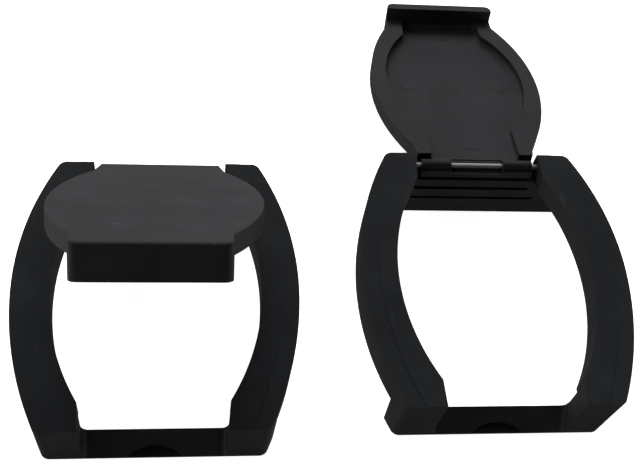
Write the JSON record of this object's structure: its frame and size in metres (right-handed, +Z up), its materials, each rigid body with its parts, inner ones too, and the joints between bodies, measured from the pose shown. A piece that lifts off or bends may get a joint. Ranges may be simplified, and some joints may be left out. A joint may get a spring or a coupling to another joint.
{
  "type": "webcam privacy cover",
  "caption": "Flip-up webcam covers: barrel-shaped frames with gripping flanges and hinged lids, one half open and one folded back.",
  "frame": {"origin": "centre of the pair's bounding box on the table plane", "axes": "+Z up from the table and out of the covers' fronts, +Y towards the hinges, +X across from the half-open cover to the fully open one"},
  "size_m": [0.0728, 0.0686, 0.0319],
  "materials": {
    "left_cover_frame": "fine matte charcoal black",
    "left_cover_hinge_pin": "plain drawn wire",
    "left_cover_lid": "fine matte charcoal black, lightly scuffed",
    "right_cover_frame": "fine matte charcoal black",
    "right_cover_hinge_pin": "plain drawn wire",
    "right_cover_lid": "fine matte charcoal black, lightly scuffed"
  },
  "bodies": {
    "frames": {"left_cover_frame": "left_cover_frame", "left_cover_hinge_pin": "left_cover_hinge_pin", "right_cover_frame": "right_cover_frame", "right_cover_hinge_pin": "right_cover_hinge_pin"},
    "left_lid": {"left_cover_lid": "left_cover_lid"},
    "right_lid": {"right_cover_lid": "right_cover_lid"}
  },
  "joints": [
    {"name": "left_lid_hinge", "type": "hinge", "parent": "frames", "child": "left_lid", "pos_m": [-0.02008, -0.00082, 0.00885], "axis": [-1, 0, 0], "range_deg": [-42.45, 151.24]},
    {"name": "right_lid_hinge", "type": "hinge", "parent": "frames", "child": "right_lid", "pos_m": [0.02008, 0.00142, 0.00885], "axis": [-1, 0, 0], "range_deg": [-193.69, 0]}
  ]
}
